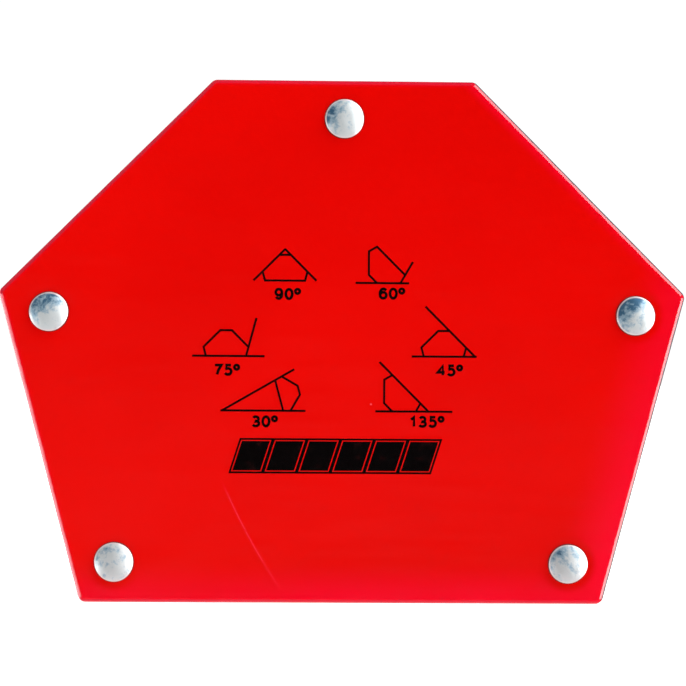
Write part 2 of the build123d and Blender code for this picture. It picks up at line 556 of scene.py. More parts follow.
def paint_material(settings):
    """Red enamel: clouded, with a painted sheen along the rims, worn at the rim, and with painted shade in
    the crevice around each rivet.
    """
    material = bpy.data.materials.new("red_enamel")
    nodes = Nodes(material)
    place = nodes.place()
    flat = nodes.add("VectorMath", {0: place, 1: (1, 0, 1)}, operation="MULTIPLY").outputs[0]
    rivet = nodes.from_rivets(flat)
    clouds = nodes.noise(place, 38 * MM, detail=3)
    flecks = nodes.noise(place, 4 * MM, detail=4)

    # colour: clouded as sprayed, a painted sheen of lighter, cooler red towards the rims, and crimson
    # where the film is thin over them
    colour = nodes.blend(nodes.ramp(clouds, 0.35, 0.68), settings.paint, settings.thin_paint)
    colour = nodes.blend(painted_sheen_share(nodes, place, rivet, clouds), colour, settings.edge_sheen)
    thin = nodes.total(nodes.attribute("rim_share"), nodes.product(flecks, 0.25))
    colour = nodes.blend(nodes.ramp(thin, 0.18, 0.36), colour, settings.thin_rim)

    # rims rubbed through and a scratch, which use has done to it, and painted shade in the crevice by each
    # rivet
    wear = nodes.total(nodes.attribute("rubbed"), nodes.product(flecks, 0.45))
    wear = nodes.ramp(wear, 0.78, 0.92)
    colour = nodes.blend(wear, colour, settings.worn_rim)
    # painted shade: a dark ring on the paint hugging each rivet head, where the crevice is in shade; it
    # also dulls the gloss there
    crevice_shade_share = nodes.ramp(rivet, 1.01 * head_radius, 1.07 * head_radius, 1.0, 0.0)
    crevice_shade_share = nodes.product(crevice_shade_share, nodes.ramp(flecks, 0.2, 0.6, 0.6, 1.0))
    colour = nodes.blend(crevice_shade_share, colour, settings.crevice_shade)
    scratch = scratch_share(nodes, place, flat, flecks)
    colour = nodes.blend(nodes.product(scratch, 0.38), colour, settings.scratched)

    # dust nibs caught in the paint, a few to a square decimetre
    cells = nodes.add("TexVoronoi", {"Vector": place, "Scale": 1 / (17 * MM)})
    nibs = nodes.ramp(cells.outputs["Distance"], 0.006, 0.017, 1.0, 0.0)
    colour = nodes.blend(nodes.product(nibs, 0.55), colour, settings.dust)

    # gloss, wiped unevenly, and the orange peel of the sprayed film
    wipes = nodes.noise(nodes.place((1, 1, 9), (0, radians(38), 0)), 12 * MM, detail=4)
    gloss = nodes.ramp(wipes, 0.3, 0.7, 0.09, 0.13)
    dulled = [nodes.product(wear, 0.22), nodes.product(crevice_shade_share, 0.35), nodes.product(scratch, 0.2)]
    gloss = nodes.total(gloss, *dulled)
    peel = nodes.noise(place, 1.3 * MM, detail=2)
    relief = nodes.bump(peel, 0.006 * MM)
    relief = nodes.bump(nibs, 0.03 * MM, relief)
    relief = nodes.bump(scratch, -0.006 * MM, relief)

    nodes.surface(Base_Color=colour, Roughness=gloss, Normal=relief, Specular_IOR_Level=0.28)
    return material


def zinc_material(settings):
    """Zinc plating: mottled, blue where the passivation is left and darker blue on one side of each head
    as painted shade, and burnished at the rim under a painted pink-white highlight.
    """
    material = bpy.data.materials.new("zinc_plating")
    nodes = Nodes(material)
    place = nodes.place()
    share = nodes.attribute("head_share")
    mottle = nodes.noise(place, 1.7 * MM, detail=6, roughness=0.68, distortion=0.3)
    grain = nodes.noise(place, 0.30 * MM, detail=3)

    # the blue shows where the head's blueing is more than the mottle; blueing grows towards one side of
    # each head as painted shade
    blue_and_shade = nodes.maths("SUBTRACT", nodes.attribute("blueing"), mottle)
    lightness = nodes.ramp(mottle, 0.25, 0.50, 0.45, 1.0)
    colour = nodes.blend(lightness, settings.zinc_middle, settings.zinc_light)
    colour = nodes.blend(nodes.ramp(blue_and_shade, -0.16, 0.02), colour, settings.zinc_middle)
    colour = nodes.blend(nodes.ramp(blue_and_shade, -0.01, 0.14), colour, settings.zinc_dark)
    # painted highlight: a pink-white ring at the rim of each head, over its burnish
    burnish_and_highlight = nodes.ramp(share, 0.90, 0.955)
    colour = nodes.blend(nodes.product(burnish_and_highlight, 0.85), colour, settings.burnish_and_highlight)
    gloss = nodes.ramp(mottle, 0.35, 0.65, 0.48, 0.38)
    relief = nodes.bump(grain, 0.012 * MM)
    relief = nodes.bump(mottle, 0.12 * MM, relief)

    nodes.surface(Base_Color=colour, Metallic=0.5, Roughness=gloss, Normal=relief)
    return material


def aluminium_material(settings):
    """Turned aluminium: fine rings around Y and a dull oxide."""
    material = bpy.data.materials.new("turned_aluminium")
    nodes = Nodes(material)
    rings = nodes.noise(nodes.place((1, 60, 1)), 14 * MM, detail=3)
    oxide = nodes.noise(nodes.place(), 2.5 * MM, detail=4)
    dull = [0.72 * channel for channel in settings.aluminium]
    colour = nodes.blend(nodes.ramp(oxide, 0.35, 0.7), settings.aluminium, dull)
    gloss = nodes.ramp(oxide, 0.3, 0.7, 0.30, 0.45)
    relief = nodes.bump(rings, 0.02 * MM)
    nodes.surface(Base_Color=colour, Metallic=1.0, Roughness=gloss, Normal=relief)
    return material


def ferrite_material(settings):
    """Sintered ferrite: charcoal grain, greyer where an edge has chipped."""
    material = bpy.data.materials.new("sintered_ferrite")
    nodes = Nodes(material)
    place = nodes.place()
    grain = nodes.noise(place, 0.5 * MM, detail=5, roughness=0.65)
    patches = nodes.noise(place, 6 * MM, detail=4)
    chip = nodes.attribute("chip")
    dusty = [1.5 * channel for channel in settings.ferrite]
    colour = nodes.blend(nodes.ramp(patches, 0.35, 0.7), settings.ferrite, dusty)
    colour = nodes.blend(nodes.ramp(chip, 0.15, 0.6), colour, settings.fresh_break)
    colour = nodes.blend(nodes.ramp(grain, 0.62, 0.75, 0.0, 0.5), colour, settings.fresh_break)
    gloss = nodes.ramp(patches, 0.3, 0.7, 0.48, 0.66)
    gloss = nodes.total(gloss, nodes.product(chip, 0.25))
    relief = nodes.bump(grain, 0.03 * MM)
    nodes.surface(Base_Color=colour, Roughness=gloss, Normal=relief)
    return material


def ink_material(settings):
    """Screen-printed ink: nearly black, thinner in places, with the mesh's faint texture."""
    material = bpy.data.materials.new("black_ink")
    nodes = Nodes(material)
    place = nodes.place()
    density = nodes.noise(place, 1.6 * MM, detail=4)
    weave = nodes.noise(place, 0.22 * MM, detail=1)
    colour = nodes.blend(nodes.ramp(density, 0.56, 0.85), settings.ink, settings.thin_ink)
    gloss = nodes.ramp(density, 0.3, 0.7, 0.16, 0.24)
    relief = nodes.bump(weave, 0.002 * MM)
    nodes.surface(Base_Color=colour, Roughness=gloss, Normal=relief, Specular_IOR_Level=0.4)
    return material


# ---- painted plates

HOLE_STEPS = 56  # points around a rivet hole
RIM_SPACING = 1.1 * MM  # between points along the rim
FACE_SPACING = 2.6 * MM  # between points on the outer face
INNER_SPACING = 6 * MM

# the short steps that roll the rim over: their slopes from the face and their lengths, of which
# only the proportions count
ROLL_SLOPES = np.radians([5, 15, 25, 35, 40, 40, 45, 55, 65, 75, 85])
ROLL_STEPS = np.array([0.025] * 4 + [0.26] * 2 + [0.15] * 5)


def dimple(distance, depth):
    """How far a rivet pulls the plate in: half a cosine wave from under its head outward."""
    reach = (distance - 0.8 * head_radius) / (0.75 * head_radius)
    return depth * (1 + np.cos(pi * np.clip(reach, 0, 1))) / 2


def face_height(across, settings):
    """How far the outer face lies behind its plane: the sheet's waves, plus the rivets' dimples.

    The waves are sines of X, of Z and of both, and they die out towards the rim.
    """
    x, z = across[..., 0] / plate_width, across[..., 1] / plate_width
    waves = np.sin(9.1 * x + 1.3) + np.sin(7.3 * z + 4.0 * x) + np.sin(13.7 * (x - z) + 0.4)
    inside = smooth(edge_distance(across), 1.6 * MM, 9 * MM)
    return settings.waviness * inside * (3 + waves) / 6 + dimple(
        rivet_distance(across), settings.dimple_depth
    )


def plate_rim(settings):
    """The rim of a plate: the profile (inset, depth) carried along the outline, as across and depth.

    From the outer face, the profile is flat, then rolled over, adding up short steps (cos, sin)
    of the slope reached. Then come the upright side, the broken edge and the flat inner face.
    How far the rim is rolled over wanders a little along the way.
    """
    margin = 0.85 * settings.corner_radius
    points, normals = rounded_path(edge_angles, edge_offsets, settings.corner_radius, RIM_SPACING)
    count = len(points)
    way = np.linspace(0, 2 * pi, count, endpoint=False)
    waves = np.sin(11 * way + 0.7) + 0.7 * np.sin(47 * way + 2.1) + 0.6 * np.sin(113 * way)
    rolled = (settings.edge_round * (1 + 0.03 * waves))[:, None]
    run = np.concatenate([[0], np.cumsum(ROLL_STEPS * np.cos(ROLL_SLOPES))])
    drop = np.concatenate([[0], np.cumsum(ROLL_STEPS * np.sin(ROLL_SLOPES))])
    outer = repeated(count, margin, (margin + 1.1 * settings.edge_round) / 2)
    inner = repeated(count, 0, 0, settings.edge_break, 0.5 * margin, margin)
    inset = np.concatenate([outer, rolled * (1 - run / run[-1]), inner], axis=1)
    side = (0.7 * plate_thickness, plate_thickness - settings.edge_break)
    below = repeated(count, *side, *[plate_thickness] * 3)
    depth = np.concatenate([repeated(count, 0, 0), rolled * drop / run[-1], below], axis=1)
    across = points[:, None] - inset[..., None] * normals[:, None]
    return across, depth


def lattice(spacing, margin, clear):
    """A triangular lattice of points inside the outline, kept off its edges and the rivets."""
    columns = np.arange(plate_low.x, plate_high.x, spacing)
    rows = np.arange(plate_low.z, plate_high.z, spacing * sin(radians(60)))
    x, z = np.meshgrid(columns, rows)
    x = x + spacing / 2 * (np.arange(len(rows)) % 2)[:, None]
    points = np.stack([x, z], -1).reshape(-1, 2)
    return points[(edge_distance(points) > margin) & (rivet_distance(points) > clear)]


def plate_face(boundary, rings, spacing):
    """A flat face: inside the boundary, around the rivet holes, with circles of points by each."""
    circles = [circle(axis, ring, HOLE_STEPS) for axis in rivet_axes for ring in rings]
    inner = lattice(spacing, 0.6 * spacing + 1.4 * MM, rings[-1] + 0.6 * spacing)
    points = np.concatenate([boundary, *circles, inner])
    loops = [np.arange(len(boundary))]
    for number in range(len(rivet_axes)):
        first = len(boundary) + number * len(rings) * HOLE_STEPS
        loops.append(first + np.arange(HOLE_STEPS))
    return fill(points, loops, rings[0] * cos(pi / HOLE_STEPS))


def at_depth(across, depth, side):
    """Points of a plate from their place across it and their depth behind its outer plane."""
    return placed(across, side * (outer_face - depth))


def build_plate(side, settings):
    """One plate, closed: rim, outer face, inner face and hole walls. Side is -1 in front, 1 behind."""
    shell = Shell()
    across, depth = plate_rim(settings)
    shell.add_grid(at_depth(across, depth, side), wrap_rows=True)
    rings = np.array([bore_radius, 0.7 * head_radius, 0.87 * head_radius, head_radius])
    rings = np.append(rings, np.linspace(1.1, 1.55, 5) * head_radius)
    flat, faces = plate_face(across[:, 0], rings, FACE_SPACING)
    shell.add(at_depth(flat, face_height(flat, settings), side), faces)
    flat, faces = plate_face(across[:, -1], rings[:1], INNER_SPACING)
    shell.add(at_depth(flat, plate_thickness, side), faces)
    for axis in rivet_axes:
        ring = circle(axis, bore_radius, HOLE_STEPS)
        wall = np.stack([face_height(ring, settings), np.full(HOLE_STEPS, plate_thickness)])
        shell.add_grid(at_depth(np.stack([ring, ring]), wall, side), wrap_columns=True)
    mesh = shell.mesh("plate")

    points = mesh_points(mesh)
    depth = outer_face - side * points[:, 1]
    outside = 1 - smooth(depth, 1.3 * settings.edge_round, 1.6 * settings.edge_round)
    rim = 1 - np.clip(edge_distance(points[:, ACROSS]) / settings.edge_round, 0, 1)
    nearest = (edge_offsets - points[:, ACROSS] @ edge_normals.T).argmin(axis=1)
    rubbed = smooth(edge_normals @ unit(WORN_SIDE), 0.1, 0.7)[nearest]
    store(mesh, "rim_share", rim * outside)
    store(mesh, "rubbed", rim * outside * rubbed)
    return mesh


# ---- rivets and spacers

DIMPLE_AT_HEAD = 0.06 * MM  # how far a head's rim sits in the dimple
SHANK_GAP = 0.05 * MM
RIVET_SEED = 40
DENTS = 9  # hammered into a head
HEAD_SIDE = 0.19  # upright side of a head, in shares of its height
SET_FLAT = 0.5  # flat on a back head, in shares of its radius
FRONT_RIM = 0.16 * MM
BACK_RIM = 0.2 * MM
RIM_TURNS = np.radians([52, 64, 76, 90, 110, 135, 160, 180])  # around a rim, from straight up
LEAST_BLUEING = 0.28

# the side of each head painted darker blue as shade, in degrees from X, and how much of it, over the blue
# passivation that mottles every head
BLUEING_AND_SHADE = {
    "top": (165, 0.26),
    "side_left": (108, 0.36),
    "side_right": (142, 0.42),
    "bottom_left": (140, 0.17),
    "bottom_right": (112, 0.20),
}


def head_section(flat, rim):
    """Half the section of a head, as radius and height, from its crown down to its seat.

    A flat as wide as asked, then a circle through the side's top, radius = flat + r sin(t) and
    height = H - r (1 - cos(t)), then a rounded rim and an undercut.
    """
    side = HEAD_SIDE * head_height
    width = head_radius - flat
    fall = head_height - side
    r = (width**2 + fall**2) / (2 * fall)
    t = np.linspace(0, np.arcsin((width - 0.8 * rim) / r), 22)
    dome_radius = flat + r * np.sin(t)
    dome_height = head_height - r * (1 - np.cos(t))
    edge_radius = head_radius - rim * (1 - np.sin(RIM_TURNS))
    edge_height = side - 0.35 * rim + rim * np.cos(RIM_TURNS)
    edge_height = np.maximum(edge_height, -DIMPLE_AT_HEAD)
    start = [0.0] if flat else []
    return np.concatenate([start, dome_radius, edge_radius]), np.concatenate(
        [[head_height] * len(start), dome_height, edge_height]
    )


def rivet_profile():
    """The section of a rivet from its front crown round to its back one, as radius and y.

    Between the heads runs the shank. The back head has the flat that the riveting set leaves.
    """
    shank = bore_radius - SHANK_GAP
    front_radius, front_height = head_section(0.0, FRONT_RIM)
    back_radius, back_height = head_section(SET_FLAT * head_radius, BACK_RIM)
    radius = np.concatenate([front_radius, [shank, shank], back_radius[::-1]])
    seat = outer_face - DIMPLE_AT_HEAD
    y = np.concatenate([-outer_face - front_height, [-seat, seat], (outer_face + back_height)[::-1]])
    return radius, y


def build_rivet(number, settings):
    """One rivet: its profile turned about its axis, with a wandering rim and hammered dents.

    A dent is a bowl, depth * exp(-distance^2 / size^2), pressed into the crown along Y.
    """
    axis = rivet_axes[number]
    random = np.random.default_rng(RIVET_SEED + number)
    radius, y = rivet_profile()
    surface = turned(axis, radius, y, 72)
    offset = surface[..., ACROSS] - axis
    distance = np.linalg.norm(offset, axis=-1)
    angle = np.arctan2(offset[..., 1], offset[..., 0])

    phases = random.uniform(0, 2 * pi, (2, 3))
    side = (surface[..., 1] > 0).astype(int)
    wander = sum(
        np.sin(lobes * angle + phases[side, order]) / lobes for order, lobes in enumerate((2, 3, 5))
    )
    at_rim = smooth(distance, 0.6 * head_radius, head_radius)
    surface[..., ACROSS] += offset * (settings.out_of_round * wander * at_rim)[..., None]

    crown = 1 - smooth(distance, 0.75 * head_radius, 0.97 * head_radius)
    for face in (-1, 1):
        centres = random.normal(0, 0.42 * head_radius, (DENTS, 2))
        sizes = random.uniform(0.14, 0.38, DENTS) * head_radius
        depths = random.uniform(0.3, 1.0, DENTS) * settings.dent_depth
        gap = np.linalg.norm(offset[..., None, :] - centres, axis=-1)
        pressed = (depths * np.exp(-((gap / sizes) ** 2))).sum(axis=-1)
        on_head = (face * surface[..., 1] > outer_face - 0.02 * MM) * crown
        surface[..., 1] -= face * pressed * on_head

    shell = Shell()
    shell.add_grid(surface, wrap_columns=True)
    mesh = shell.mesh("rivet")
    points = mesh_points(mesh)
    offset = (points[:, ACROSS] - axis) / head_radius
    store(mesh, "head_share", np.linalg.norm(offset, axis=1))
    way, amount = BLUEING_AND_SHADE[PLACES[number]]
    # painted shade: the blueing grows towards the listed side of the head
    towards_painted_shade = smooth(offset @ unit(radians(way)), -0.5, 0.9)
    store(mesh, "blueing", LEAST_BLUEING + amount * towards_painted_shade)
    return mesh


def build_spacer(axis, settings):
    """One spacer: a tube with broken edges, its rectangular section turned about the rivet."""
    chamfer = settings.spacer_chamfer
    low, high = spacer_low.y, spacer_high.y
    bore, outside = bore_radius, spacer_radius
    radius = np.array([bore, outside - chamfer, outside, outside, outside - chamfer, bore, bore])
    y = np.array([low, low, low + chamfer, high - chamfer, high, high, low])
    shell = Shell()
    shell.add_grid(turned(axis, radius, y, 64), wrap_columns=True)
    return shell.mesh("spacer")


# ---- magnet bars

BAR_SPACING = 0.75 * MM  # between points around and along a bar
TURN_STEPS = 5  # rings where a bar rounds over to its end
END_RINGS = 8  # rings drawn to the middle of an end face
BAR_SEED = 70


def bar_frame(node, edge):
    """The box of a magnet bar in its edge's own directions: axes, lowest and highest corner."""
    normal = edge_normals[EDGES.index(edge)]
    along = np.array([-normal[1], 0, normal[0]])
    inward = np.array([-normal[0], 0, -normal[1]])
    axes = np.stack([along, inward, (0, 1, 0)])
    local = node_points(node) @ axes.T
    return axes, local.min(axis=0), local.max(axis=0)


def bar_surface(low, high, radius):
    """The surface of a bar before its chips: a rounded rectangle carried along it.

    At an end the section shrinks by r (1 - cos t) while it moves by r (1 - sin t), and the end
    face is its last ring drawn to the middle.
    """
    angles = np.array([-pi / 2, 0, pi / 2, pi])
    offsets = np.array([-low[2], high[1], high[2], -low[1]])
    section, normals = rounded_path(angles, offsets, radius, BAR_SPACING, steps=4)
    middle = (low + high)[1:] / 2

    turn = np.linspace(0, pi / 2, TURN_STEPS)
    stations = round((high[0] - low[0]) / BAR_SPACING)
    start = low[0] + radius * (1 - np.sin(turn[::-1]))
    straight = np.linspace(low[0] + radius, high[0] - radius, stations)[1:-1]
    end = high[0] - radius * (1 - np.sin(turn))
    along = np.concatenate([start, straight, end])
    shrink = np.zeros(len(along))
    shrink[:TURN_STEPS] = radius * (1 - np.cos(turn[::-1]))
    shrink[-TURN_STEPS:] = radius * (1 - np.cos(turn))
    rings = section[None] - shrink[:, None, None] * normals[None]
    drawn = np.linspace(0, 1, END_RINGS, endpoint=False)[:, None, None]
    start_face = middle + drawn * (rings[:1] - middle)
    end_face = middle + drawn[::-1] * (rings[-1:] - middle)
    rings = np.concatenate([start_face, rings, end_face])
    along = np.concatenate([np.full(END_RINGS, along[0]), along, np.full(END_RINGS, along[-1])])
    return np.concatenate([np.broadcast_to(along[:, None, None], (*rings.shape[:2], 1)), rings], 2)


def chip_bowls(points, where, sizes):
    """How deep points lie in each chip, as a share: (1 - (distance / size)^2)^2."""
    gap = np.linalg.norm(points[..., None, :] - where, axis=-1) / sizes
    return np.clip(1 - gap**2, 0, 1) ** 2


def build_bar(node, edge, seed, settings):
    """One magnet bar, with chips anywhere along its long edges that grow towards its ends.

    A chip pulls points towards the middle of the bar by its depth times its bowl.
    """
    random = np.random.default_rng(seed)
    axes, low, high = bar_frame(node, edge)
    local = bar_surface(low, high, settings.edge_radius)
    middle = (low + high) / 2
    half_length = (high[0] - low[0]) / 2

    count = settings.chips
    where = low + (high - low) * random.integers(0, 2, (count, 3))
    where[:, 0] = random.uniform(low[0], high[0], count)
    nearness = np.abs(where[:, 0] - middle[0]) / half_length
    sizes = random.uniform(0.7, 1.5, count) * MM * (1 + nearness**4)
    depths = random.uniform(0.4, 1.0, count) * settings.chip_depth
    pull = (depths * chip_bowls(local, where, sizes)).sum(axis=-1)
    towards = middle - local
    towards[..., 0] *= smooth(np.abs(towards[..., 0]), 0.8 * half_length, half_length)
    towards /= np.maximum(np.linalg.norm(towards, axis=-1, keepdims=True), MM)

    shell = Shell()
    shell.add_grid((local + pull[..., None] * towards) @ axes, wrap_columns=True)
    mesh = shell.mesh("bar", radians(50))
    store(mesh, "chip", chip_bowls(mesh_points(mesh) @ axes.T, where, sizes).sum(axis=-1))
    return mesh


# ---- print: strokes as ribbons, joined into one flat film


def arc(centre, radii, start, stop, steps=14):
    """Points along an oval arc, centre + radii * n(angle), between two angles in degrees."""
    return np.array(centre) + np.array(radii) * unit(np.radians(np.linspace(start, stop, steps)))


DIGITS = {
    "0": [arc((0.5, 0.5), (0.5, 0.5), 0, 360, 25)],
    "1": [np.array([(0.14, 0.72), (0.42, 0.86), (0.60, 1.0), (0.60, 0.0)])],
    "3": [
        np.vstack([arc((0.48, 0.75), (0.42, 0.25), 155, -85), arc((0.48, 0.26), (0.50, 0.26), 85, -155)]),
    ],
    "4": [np.array([(0.76, 0.0), (0.76, 1.0), (0.0, 0.30), (1.06, 0.30)])],
    "5": [
        np.vstack([(0.92, 1.0), (0.22, 1.0), (0.10, 0.50), arc((0.46, 0.33), (0.52, 0.33), 128, -150)]),
    ],
    "7": [np.array([(0.0, 1.0), (1.0, 1.0), (0.55, 0.45), (0.36, 0.0)])],
    "9": [
        arc((0.48, 0.68), (0.48, 0.32), 0, 360, 25),
        arc((0.46, 0.50), (0.52, 0.50), 25, -140, 18),
    ],
}
DIGITS["6"] = [1 - stroke for stroke in DIGITS["9"]]
DEGREE = arc((0, 0), (1, 1), 0, 360, 25)

# the numbers, in shares of their height
DIGIT_WIDTH = 0.56
DIGIT_PITCH = 0.88
DEGREE_RADIUS = 0.19
DEGREE_AWAY = 0.46  # from the last digit to the middle of the ring
NARROW = 0.30  # what a 1 leaves of its width, in shares of that
BOLD = 1.3  # width of a digit's stroke, in lines

INK_SUNK = 0.2  # how far ink reaches into the paint, in shares of its thickness

# heights of the rows of guides, in shares of the plate's
ROWS = (0.6155, 0.4713, 0.3670)


class Guide(NamedTuple):
    """A small drawing of the holder resting on one edge, with work leaning on others."""

    rests: str  # the edge that it rests on
    leans: tuple  # the edges that work leans on, which meets the rest at the angle named
    across: float  # middle of the edge that it rests on, in shares of the plate's width
    row: int
    lower: float  # below its row, in millimetres
    past: tuple  # millimetres that lines run on past the holder: leaning, to the left, right
    label: tuple  # millimetres from the middle of the edge to the middle of the number
    scale: float = 1.0


GUIDES = {
    # number: rests, leans, across, row, lower, past, label, scale
    "90": Guide("bottom", ("shoulder_right", "shoulder_left"), -0.085, 0, 0.0, (2.5, 0, 0), (0.55, -2.62)),
    "60": Guide("shoulder_left", ("flank_left",), 0.066, 0, 0.35, (3.0, 2.6, 0.8), (0.65, -2.05)),
    "75": Guide("bottom", ("flank_right",), -0.170, 1, 0.05, (5.9, 2.2, 3.15), (0.19, -2.72)),
    "45": Guide("bottom", ("shoulder_right",), 0.147, 1, -0.1, (6.75, 1.9, 0.3), (1.22, -2.70)),
    "30": Guide("flank_right", ("flank_left",), -0.081, 2, 0.0, (2.85, 0.3, 1.1), (-4.32, -2.10), 0.79),
    "135": Guide("shoulder_left", ("bottom",), 0.0895, 2, 0.0, (3.6, 1.7, 4.7), (4.57, -2.00)),
}

# edges of the small holder in a guide
GUIDE_BASE = 7.84 * MM
GUIDE_FLANK = 1.83 * MM
GUIDE_SHOULDER = 4.62 * MM

# the band: its blocks, its size, the line around each block and the gap inside that
BLOCKS = 6
BAND_SIZE = np.array([41.8, 6.9]) * MM
BAND_MIDDLE = (0.4899, 0.281)  # in shares of the plate's width and height
BAND_SLANT = 0.32
BAND_LINE = 0.36 * MM
BAND_GAP = 0.22 * MM


def ribbon(stroke, width):
    """Quads along a stroke: each point is moved half a width to either side, along its mitre.

    A stroke that ends where it starts is joined up.
    """
    closed = np.linalg.norm(stroke[0] - stroke[-1]) < 0.001 * MM
    if closed:
        stroke = stroke[:-1]
    ahead = np.roll(stroke, -1, axis=0) - stroke
    ahead /= np.linalg.norm(ahead, axis=1, keepdims=True)
    behind = np.roll(ahead, 1, axis=0)
    if not closed:
        ahead[-1] = behind[-1]
        behind[0] = ahead[0]
    sideways = np.stack([-(ahead + behind)[:, 1], (ahead + behind)[:, 0]], axis=1)
    normal = np.stack([-ahead[:, 1], ahead[:, 0]], axis=1)
    sideways /= np.maximum((sideways * normal).sum(axis=1, keepdims=True), 0.4)
    left = stroke + width / 2 * sideways
    right = stroke - width / 2 * sideways
    quads = np.stack([left, right, np.roll(right, -1, axis=0), np.roll(left, -1, axis=0)], axis=1)
    return quads if closed else quads[:-1]


def film(polygons, settings, plates):
    """A closed film of ink over the union of flat polygons, following the plate's face.

    The union is the part of a Delaunay triangulation that lies in any polygon. Its top stands the
    ink's thickness on the paint, its underside a little in it, and walls join their borders.
    """
    corners = [Vector(point) for polygon in polygons for point in polygon / MM]
    numbers = np.cumsum([0] + [len(polygon) for polygon in polygons])
    faces = [list(range(first, last)) for first, last in zip(numbers, numbers[1:])]
    found = delaunay_2d_cdt(corners, [], faces, 1, 1e-4)
    flat = np.array([tuple(p) for p in found[0]]) * MM
    triangles = np.array([face for face, sources in zip(found[2], found[5]) if sources])
    count = len(flat)
    paint = face_height(flat, plates) - outer_face
    top = placed(flat, paint - settings.ink_thickness)
    bottom = placed(flat, paint + INK_SUNK * settings.ink_thickness)
    sides = np.concatenate([triangles[:, [0, 1]], triangles[:, [1, 2]], triangles[:, [2, 0]]])
    _, place, used = np.unique(np.sort(sides, axis=1), axis=0, return_inverse=True, return_counts=True)
    border = sides[used[place.ravel()] == 1]
    walls = np.concatenate([border[:, ::-1], border + count], axis=1)
    shell = Shell()
    shell.add(np.concatenate([top, bottom]), triangles, triangles[:, ::-1] + count, walls)
    return shell.mesh("film")


def guide_outline(scale):
    """The corners of the small holder in a guide, anticlockwise, each where an edge starts.

    Its edges point as the real ones do, with lengths of their own that close the outline.
    """
    base, flank, shoulder = GUIDE_BASE * scale, GUIDE_FLANK * scale, GUIDE_SHOULDER * scale
    headings = edge_angles + pi / 2
    top = base + 2 * flank * cos(headings[1]) + 2 * shoulder * cos(headings[2])
    steps = np.array([base, flank, shoulder, top, shoulder, flank])[:, None] * unit(headings)
    return np.concatenate([[(0, 0)], np.cumsum(steps, axis=0)[:-1]])


def guide_lines(guide):
    """The lines of one guide, around the middle of the edge that it rests on.

    A leaning line runs up from where it meets the ground, start - heading * height / rise. Two
    leaning lines meet each other instead, above the middle.
    """
    outline = guide_outline(guide.scale)
    rests = EDGES.index(guide.rests)
    turn = -(edge_angles[rests] + pi / 2)
    spin = np.array([[cos(turn), -sin(turn)], [sin(turn), cos(turn)]])
    outline = (outline - (outline[rests] + outline[(rests + 1) % 6]) / 2) @ spin.T
    past_work, past_left, past_right = np.array(guide.past) * MM
    lines = [np.vstack([outline, outline[:1]])]
    for lean in guide.leans:
        edge = EDGES.index(lean)
        start, stop = outline[edge], outline[(edge + 1) % 6]
        heading = (stop - start) / np.linalg.norm(stop - start)
        if heading[1] < 0:
            start, stop, heading = stop, start, -heading
        if len(guide.leans) > 1:
            peak = start - heading * start[0] / heading[0]
            lines.append(np.array([start - past_work * heading, peak + 0.05 * MM * heading]))
        else:
            foot = start - heading * start[1] / heading[1]
            lines.append(np.array([foot, stop + past_work * heading]))
            left = min(outline[:, 0].min(), foot[0]) - past_left
            right = max(outline[:, 0].max(), foot[0]) + past_right
            lines.append(np.array([(left, 0.0), (right, 0.0)]))
    return lines


def label(number, settings):
    """The strokes of a number and its degree ring, centred on the origin."""
    size = settings.digit_height
    width, pitch, ring = DIGIT_WIDTH * size, DIGIT_PITCH * size, DEGREE_RADIUS * size
    height = size - settings.line_width
    strokes = []
    left = 0.0
    for digit in number:
        narrow = NARROW * width if digit == "1" else 0.0
        for stroke in DIGITS[digit]:
            strokes.append(stroke * (width, height) + (left - narrow / 2, -height / 2))
        left += pitch - narrow
    middle = (left - pitch + width + DEGREE_AWAY * size, height / 2 - 0.95 * ring)
    strokes.append(DEGREE * ring + middle)
    return [stroke - ((middle[0] + ring) / 2, 0) for stroke in strokes]


def guide_polygons(number, guide, settings):
    """All the ink of one guide, as flat polygons in place."""
    place = np.array([guide.across * plate_width, ROWS[guide.row] * plate_height])
    place -= (0, guide.lower * MM)
    strokes = [(line, settings.line_width) for line in guide_lines(guide)]
    for stroke in label(number, settings):
        strokes.append((stroke + np.array(guide.label) * MM, BOLD * settings.line_width))
    return list(np.concatenate([ribbon(*stroke) for stroke in strokes]) + place)


def slanted_block(middle, size, amount):
    """The corners of a slanted block drawn in by an amount, anticlockwise from the lower left.

    Across it, a slanted side is drawn in by amount * sqrt(1 + slant^2).
    """
    across, up = np.array([(-1, -1), (1, -1), (1, 1), (-1, 1)]).T
    half_height = size[1] / 2 - amount
    half_width = size[0] / 2 - amount * (1 + BAND_SLANT**2) ** 0.5
    x = across * half_width + up * half_height * BAND_SLANT
    return middle + np.stack([x, up * half_height], axis=1)


def band_polygons():
    """A plain band: slanted blocks, each with an outline around a gap."""
    pitch = (BAND_SIZE[0] - BAND_SLANT * BAND_SIZE[1]) / BLOCKS
    size = np.array([pitch + 0.2 * BAND_LINE, BAND_SIZE[1]])
    first = np.array(BAND_MIDDLE) * (plate_width, plate_height) + (plate_low.x, 0)
    first[0] += (size[0] + BAND_SLANT * BAND_SIZE[1] - BAND_SIZE[0]) / 2
    polygons = []
    for block in range(BLOCKS):
        middle = first + (block * pitch, 0)
        ring = slanted_block(middle, size, BAND_LINE / 2)
        polygons += list(ribbon(np.vstack([ring, ring[:1]]), BAND_LINE))
        polygons.append(slanted_block(middle, size, BAND_LINE + BAND_GAP))
    return polygons


# ---- stage

